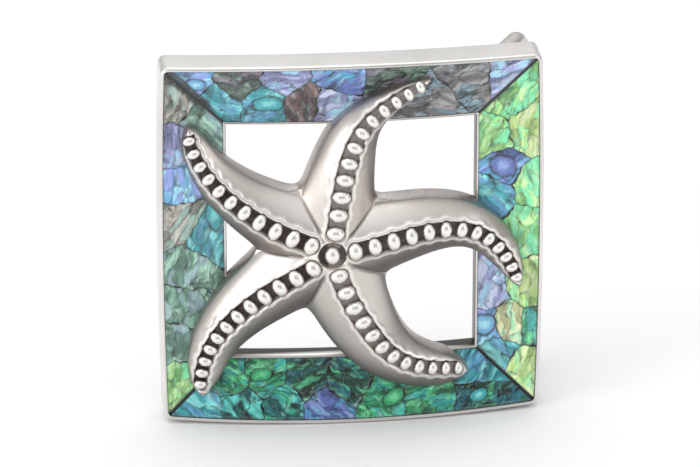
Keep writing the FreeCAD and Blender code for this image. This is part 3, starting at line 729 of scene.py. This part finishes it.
# ---------------------------------------------------------------- the starfish
# For each arm: tip, headings at hub and tip, how hard each end pulls the curve, width at
# the tip, taper, how far the bead row lies left of the middle, and how dark its groove is.
ARMS = (
    ((-20.5, 16.4), (150, 99), (0.31, 0.40), 2.7, 1.00, 0.45, 0.95),
    ((9.7, 22.2), (82, 29), (0.70, 0.44), 1.2, 0.80, 0.0, 0.62),
    ((21.3, -7.0), (5, -72), (0.39, 0.62), 3.1, 0.95, 0.0, 0.90),
    ((14.6, -17.9), (-74, -3), (0.64, 0.36), 3.4, 1.00, 0.55, 0.66),
    ((-19.1, -20.2), (217, 271), (0.42, 0.40), 3.7, 0.95, -0.45, 0.95),
)
SAMPLES = 260                   # points along an arm's middle line
CHUNK = 20000                   # grid points looked up at a time, to save memory
TIP_START, TIP_LENGTH = 0.84, 0.16      # the rounded end, as shares of the arm
FIRST_BEAD, LAST_BEAD = 2.95, 0.9       # distance from the hub and from the arm's end
SPACING, CLOSER = 2.62, 1.05            # between beads at the hub, and less at the tip
HUB_BEAD, HUB_PIT = 1.02, 1.8           # radii of the middle bead and of its pit
WEB = 0.62                              # rounding where two arms' outlines meet
# Painted shade: the flanks that face down and to the right are painted darker.
SHADE_SIDE = np.array((0.15, -0.99))


def bead_radius(share):
    """Half a bead's size along its row."""
    return 1.04 - 0.47 * share ** 0.9


def bead_stretch(share):
    """How much wider than long a bead is."""
    return 1.18 + 0.20 * step(0.05, 0.35, share)


class Arm:
    """One arm: its curved middle line, and its width, height and bead row along it."""

    def __init__(self, tip, headings, pulls, end_width, taper, shift, grime):
        tip = np.array(tip)
        length = np.linalg.norm(tip - HUB)
        first, last = [np.array((math.cos(math.radians(a)), math.sin(math.radians(a))))
                       for a in headings]
        poles = (HUB, HUB + first * pulls[0] * length, tip - last * pulls[1] * length, tip)
        share = np.linspace(0, 1, SAMPLES)
        rest = 1 - share
        weights = (rest ** 3, 3 * rest ** 2 * share, 3 * rest * share ** 2, share ** 3)
        self.line = sum(np.outer(w, p) for w, p in zip(weights, poles))
        along = np.gradient(self.line, axis=0)
        along /= np.linalg.norm(along, axis=1)[:, None]
        self.across = np.column_stack((-along[:, 1], along[:, 0]))
        self.share = share
        self.grime = grime
        half = (ROOT_WIDTH + (end_width - ROOT_WIDTH) * share ** taper) / 2
        tip_part = np.clip((share - TIP_START) / TIP_LENGTH, 0, 1)
        self.half = np.maximum(half * np.sqrt(1 - tip_part ** 2), 0.02)
        self.ridge = RIDGE_HUB + (RIDGE_TIP - RIDGE_HUB) * share ** 2
        # The bead row stays within about a third of the half width from the middle.
        limit = 0.35 * self.half
        self.shift = np.clip(shift * step(0.05, 0.35, share), -limit, limit)
        self.row = self.line + self.across * self.shift[:, None]
        steps = np.linalg.norm(np.diff(self.row, axis=0), axis=1)
        self.run = np.concatenate(((0.0,), np.cumsum(steps)))

    def nearest(self, x, z):
        """For each point: sample number and signed distance, left of the arm positive."""
        spots = np.column_stack((x, z))
        number = np.empty(len(spots), int)
        for start in range(0, len(spots), CHUNK):
            part = spots[start:start + CHUNK]
            gap = ((part[:, None, :] - self.line[None]) ** 2).sum(2)
            number[start:start + CHUNK] = gap.argmin(1)
        offset = spots - self.line[number]
        side = np.sign((offset * self.across[number]).sum(1))
        side[side == 0] = 1
        return number, side * np.linalg.norm(offset, axis=1)

    def beads(self):
        """The bead row, closer and smaller towards the tip: for each bead its centre,
        its radius, its share of the arm and the row's direction."""
        found = []
        run, end = FIRST_BEAD, self.run[-1] - LAST_BEAD
        while run < end:
            share = run / self.run[-1]
            spot = [np.interp(run, self.run, self.row[:, k]) for k in (0, 1)]
            number = int(np.searchsorted(self.run, run))
            along = (self.across[number][1], -self.across[number][0])
            found.append((spot[0], spot[1], float(bead_radius(share)), share, along))
            run += SPACING - CLOSER * share
        return found


arms = [Arm(*values) for values in ARMS]
beads = [(HUB[0], HUB[1], HUB_BEAD, 0.0, (1.0, 0.0))]
for arm in arms:
    beads += arm.beads()


def star_fields(x, z):
    """The starfish at each point: distance inside its outline, height in front of the
    crown with its grooves and without them, and its patina, painted shade and painted
    highlights."""
    insets, heights, tracks, fronts = [], [], [], []
    for arm in arms:
        number, offset = arm.nearest(x, z)
        half, shift = arm.half[number], arm.shift[number]
        share = arm.share[number]
        # u is 0 on the bead row, which is the arm's ridge, and 1 on the arm's edge.
        left = offset >= shift
        u = np.where(left, (offset - shift) / (half - shift),
                     (shift - offset) / (half + shift))
        shoulder = -0.5 + 0.65 * share
        rise = np.power(np.clip(1 - np.clip(u, 0, 1) ** 1.55, 0, 1), 0.80)
        height = shoulder + (arm.ridge[number] - shoulder) * rise
        height -= 0.9 * np.maximum(np.abs(offset) - half, 0)
        insets.append(half - np.abs(offset))
        heights.append(height)
        # The groove that the beads lie in, from near the hub to near the tip.
        width = bead_radius(share) * bead_stretch(share) + 0.02
        ends = np.maximum(3.0 - arm.run[number], arm.run[number] - (arm.run[-1] - 1.0))
        tracks.append(np.maximum(np.abs(offset - shift) - width, ends))
        away = arm.across[number] * np.where(left, 1.0, -1.0)[:, None]
        # How much each flank faces down and to the right, for the painted shade and the
        # painted highlight.
        fronts.append((away @ SHADE_SIDE) * np.clip(u, 0, 1) ** 0.8)
    insets, heights, fronts = np.array(insets), np.array(heights), np.array(fronts)
    owner = heights.argmax(0)[None]
    grime = np.array([arm.grime for arm in arms])[owner[0]]
    turned = np.take_along_axis(fronts, owner, 0)[0]
    inset = soft_max(insets, WEB)
    # A fine crease where two arms meet.
    ranked = np.sort(heights, axis=0)
    valley = ranked[-1] - ranked[-2]
    height = soft_max(heights, 0.06)
    reach = np.hypot(x - HUB[0], z - HUB[1])
    crease = np.exp(-(valley / 0.16) ** 2) * step(2.3, 3.6, reach) * step(0.0, 1.2, inset)
    height = height - CREASE * crease
    pit = np.full(x.shape, FAR)
    for bx, bz, radius, share, along in beads:
        ea = (x - bx) * along[0] + (z - bz) * along[1]
        eb = -(x - bx) * along[1] + (z - bz) * along[0]
        pit = np.minimum(pit, np.hypot(ea, eb / bead_stretch(share)) - (radius + 0.10))
    pit = np.minimum(pit, np.min(tracks, axis=0))
    pit = np.minimum(pit, reach - HUB_PIT)
    deep = 1 - step(-0.26, 0.06, pit)
    fade = step(0.0, 0.5, inset)
    lip = np.exp(-((pit - 0.24) / 0.17) ** 2) * fade
    grooved = height - GROOVE * deep * fade + LIP_RISE * lip
    # Patina darkens the grooves and creases. The foot is darker, partly as patina and partly
    # as painted shade where the arm meets the shell, more on the flanks that face down and to
    # the right. Painted shade also darkens those flanks. The lips are polished, and the flanks
    # near the hub that face up get a painted highlight.
    patina_and_painted_light = np.clip(grime * deep + 0.70 * crease ** 0.6, 0, 1)
    # Darker at the foot: partly patina, partly painted shade where the arm meets the shell.
    foot = np.exp(-(np.maximum(inset, 0) / 0.9) ** 1.3)
    # Painted shade on the flanks that face down and to the right.
    painted_flank_shade = 0.68 * step(0.02, 0.68, turned)
    # The foot's painted shade is stronger on those flanks.
    foot = foot * (0.40 + 0.24 * step(-0.2, 0.4, turned))
    # A painted highlight on the flanks near the hub that face up.
    painted_highlight = 0.55 * (1 - step(5.0, 14.0, reach)) * step(0.05, 0.6, -turned)
    patina_and_painted_light = np.maximum(patina_and_painted_light, np.maximum(foot, painted_flank_shade)) - 0.8 * lip * (1 - deep)
    patina_and_painted_light = patina_and_painted_light - painted_highlight * (1 - deep) * (1 - crease)
    return inset, grooved, height, patina_and_painted_light


BALL_RINGS, BALL_TURNS = 10, 22         # a bead's rings, and the points on each
STAR_WEST, STAR_EAST = -23.0, 23.0      # the grid that holds the whole starfish
STAR_SOUTH, STAR_NORTH = -21.6, 23.4
STAR_BACK = 1.1                 # its back lies this far behind the face, against the bed
BACK_EDGE = 0.5                 # radius of the back's rounded edge
THINNEST = 0.25                 # the casting is nowhere thinner


def ball(centre, radius, along, stretch):
    """A bead: an egg with its axis along Y, wider across its row than along it."""
    points, polygons = [(centre[0], centre[1] - radius, centre[2])], []
    for i in range(1, BALL_RINGS):
        tilt = math.pi * i / BALL_RINGS
        for k in range(BALL_TURNS):
            turn = math.tau * k / BALL_TURNS
            a = radius * math.sin(tilt) * math.cos(turn)
            b = radius * stretch * math.sin(tilt) * math.sin(turn)
            points.append((centre[0] + a * along[0] - b * along[1],
                           centre[1] - radius * math.cos(tilt),
                           centre[2] + a * along[1] + b * along[0]))
    points.append((centre[0], centre[1] + radius, centre[2]))
    last = len(points) - 1
    for k in range(BALL_TURNS):
        after = (k + 1) % BALL_TURNS
        polygons.append([0, 1 + k, 1 + after])
        for i in range(BALL_RINGS - 2):
            a, b = 1 + i * BALL_TURNS, 1 + (i + 1) * BALL_TURNS
            polygons.append([a + k, b + k, b + after, a + after])
        a = 1 + (BALL_RINGS - 2) * BALL_TURNS
        polygons.append([a + k, last, a + after])
    return points, polygons


def add_starfish():
    """The cast starfish with its grooves and beads, as one piece."""
    xs = np.arange(STAR_WEST, STAR_EAST, STAR_GRID)
    zs = np.arange(STAR_SOUTH, STAR_NORTH, STAR_GRID)
    x, z = np.meshgrid(xs, zs, indexing="ij")
    inset = star_fields(x.ravel(), z.ravel())[0].reshape(x.shape)
    points, faces, rim = region(x, z, inset)
    px, pz = points.T
    inset, height, _, patina_and_painted_light = star_fields(px, pz)
    edge = np.clip(inset / BACK_EDGE, 0, 1)
    back = face(px, pz) + STAR_BACK - BACK_EDGE * (1 - np.sqrt(1 - (1 - edge) ** 2))
    front = np.minimum(crown(px) - height, back - THINNEST)
    shell, polygons = closed(points, faces, rim, front, back)
    patina_shade_and_highlight = np.concatenate((patina_and_painted_light, np.full(len(px), 0.15)))
    all_points, start = [shell], len(shell)
    for bx, bz, radius, share, along in beads:
        # A bead sits half a radius deep in the arm's ungrooved top.
        top = float(star_fields(np.array((bx,)), np.array((bz,)))[2][0])
        depth = max(float(crown(bx)) - top + radius * 0.50, FRONT + radius)
        extra, more = ball((bx, depth, bz), radius, along, bead_stretch(share))
        all_points.append(np.array(extra))
        polygons += [[v + start for v in polygon] for polygon in more]
        # Partly polish and patina, partly painted light: a painted highlight on its front and
        # painted shade around its foot.
        low = np.array([p[1] for p in extra]) - depth
        patina_shade_and_highlight = np.concatenate((patina_shade_and_highlight, 1.5 * step(-0.30 * radius, 0.30 * radius, low) - 0.9))
        start += len(extra)
    obj = add_mesh("starfish_casting", np.vstack(all_points), polygons, CAST, 75)
    paint(obj, "patina_and_painted_light", patina_shade_and_highlight)
    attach(obj, "plate")
    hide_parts("starfish")


add_starfish()

# ---------------------------------------------------------------- CAD nodes that stay
for name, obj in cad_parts.items():
    if not obj.hide_render:
        for slot in obj.material_slots:
            slot.material = SHEET if name == "back_plate" else WIRE

# ---------------------------------------------------------------- studio
# From here on, lengths are in metres.
floor_z = cad_box[0].z - 0.0001
FLOOR_CORNERS = 96
# The floor's rings: radius, and height above its flat middle.
FLOOR_RINGS = ((1.5, 0.0), (1.8, 0.006), (2.1, 0.024), (2.4, 0.054), (2.7, 0.096),
               (2.85, 0.12))
LIT_POINT = Vector((0.02, 0.0, 0.0))    # the lamps face it
# For each lamp: name, place, width and height, and watts.
LAMPS = (
    ("overhead", (-0.20, 0.20, 3.00), (2.8, 1.6), 16.0),
    ("left_front", (-2.80, -1.40, 0.95), (2.0, 1.6), 40.0),
    ("right_front", (3.00, -1.80, 1.20), (1.0, 1.6), 14.0),
)
# The room's brightness, from straight below at 0 to straight overhead at 1.
WORLD_LEVELS = ((0.48, 0.15), (0.63, 0.26), (0.85, 0.68), (1.0, 1.0))
WORLD_STRENGTH, BRIGHTER_BEHIND = 1.25, 0.34
# The camera: its angles in degrees, its distance, and its lens in millimetres.
AZIMUTH, ELEVATION, DISTANCE, LENS = -5.9, 22.8, 0.714, 290


def add_studio():
    """A plain pale floor: flat here, and rising a little far off to hide the horizon."""
    turns = [math.tau * k / FLOOR_CORNERS for k in range(FLOOR_CORNERS)]
    corners = [(reach * math.cos(turn), reach * math.sin(turn), floor_z + rise)
               for reach, rise in FLOOR_RINGS for turn in turns]
    polygons = [list(range(FLOOR_CORNERS))]
    for j in range(len(FLOOR_RINGS) - 1):
        near, far = j * FLOOR_CORNERS, (j + 1) * FLOOR_CORNERS
        for k in range(FLOOR_CORNERS):
            after = (k + 1) % FLOOR_CORNERS
            polygons.append([near + k, far + k, far + after, near + after])
    mesh = bpy.data.meshes.new("studio_floor")
    mesh.from_pydata(corners, [], polygons)
    mesh.polygons.foreach_set("use_smooth", [True] * len(mesh.polygons))
    n = Nodes("studio_floor")
    cloud = n.noise(n.place(), 3.0, 2.0)
    n.set(Base_Color=n.ramp(cloud, ((0.3, 0.88), (0.7, 0.90))), Roughness=0.9)
    mesh.materials.append(n.material)
    obj = bpy.data.objects.new("studio_floor", mesh)
    bpy.context.scene.collection.objects.link(obj)


def add_lamp(name, spot, size, power):
    """A soft white lamp."""
    lamp = bpy.data.lights.new(name, "AREA")
    lamp.shape = "RECTANGLE"
    lamp.size, lamp.size_y = size
    lamp.energy = power
    obj = bpy.data.objects.new(name, lamp)
    obj.location = spot
    obj.rotation_euler = (LIT_POINT - Vector(spot)).to_track_quat("-Z", "Y").to_euler()
    bpy.context.scene.collection.objects.link(obj)


def add_world():
    """Plain room light: pale overhead, darker lower down, brighter behind."""
    world = bpy.data.worlds.new("studio")
    bpy.context.scene.world = world
    world.use_nodes = True
    nodes, links = world.node_tree.nodes, world.node_tree.links
    where = nodes.new("ShaderNodeTexCoord").outputs["Generated"]
    split = nodes.new("ShaderNodeSeparateXYZ")
    links.new(where, split.inputs[0])
    ramp = nodes.new("ShaderNodeValToRGB")
    lift = nodes.new("ShaderNodeMapRange")
    lift.inputs["From Min"].default_value = -1
    behind = nodes.new("ShaderNodeMath")
    behind.operation, behind.use_clamp = "MULTIPLY", True
    behind.inputs[1].default_value = BRIGHTER_BEHIND
    links.new(split.outputs["Y"], behind.inputs[0])
    height = nodes.new("ShaderNodeMath")
    links.new(split.outputs["Z"], height.inputs[0])
    links.new(behind.outputs[0], height.inputs[1])
    links.new(height.outputs[0], lift.inputs["Value"])
    links.new(lift.outputs[0], ramp.inputs["Fac"])
    while len(ramp.color_ramp.elements) < len(WORLD_LEVELS):
        ramp.color_ramp.elements.new(0.5)
    for element, (spot, level) in zip(ramp.color_ramp.elements, WORLD_LEVELS):
        element.position = spot
        element.color = (level, level, level * 1.01, 1)
    links.new(ramp.outputs["Color"], nodes["Background"].inputs["Color"])
    nodes["Background"].inputs["Strength"].default_value = WORLD_STRENGTH


def add_camera():
    """The photograph's viewpoint: a little left of the buckle and above it."""
    target = Vector((ORIGIN.x, ORIGIN.y + 5 * MM, ORIGIN.z - 0.3 * MM))
    azimuth, elevation = math.radians(AZIMUTH), math.radians(ELEVATION)
    back = Vector((math.sin(azimuth) * math.cos(elevation),
                   -math.cos(azimuth) * math.cos(elevation), math.sin(elevation)))
    data = bpy.data.cameras.new("camera")
    data.lens, data.sensor_width = LENS, 36
    data.clip_start, data.clip_end = 0.01, 200
    camera = bpy.data.objects.new("camera", data)
    camera.location = target + back * DISTANCE
    camera.rotation_euler = (-back).to_track_quat("-Z", "Y").to_euler()
    bpy.context.scene.collection.objects.link(camera)
    bpy.context.scene.camera = camera


add_studio()
add_world()
add_camera()
for lamp in LAMPS:
    add_lamp(*lamp)
bpy.context.scene.view_settings.view_transform = "Standard"
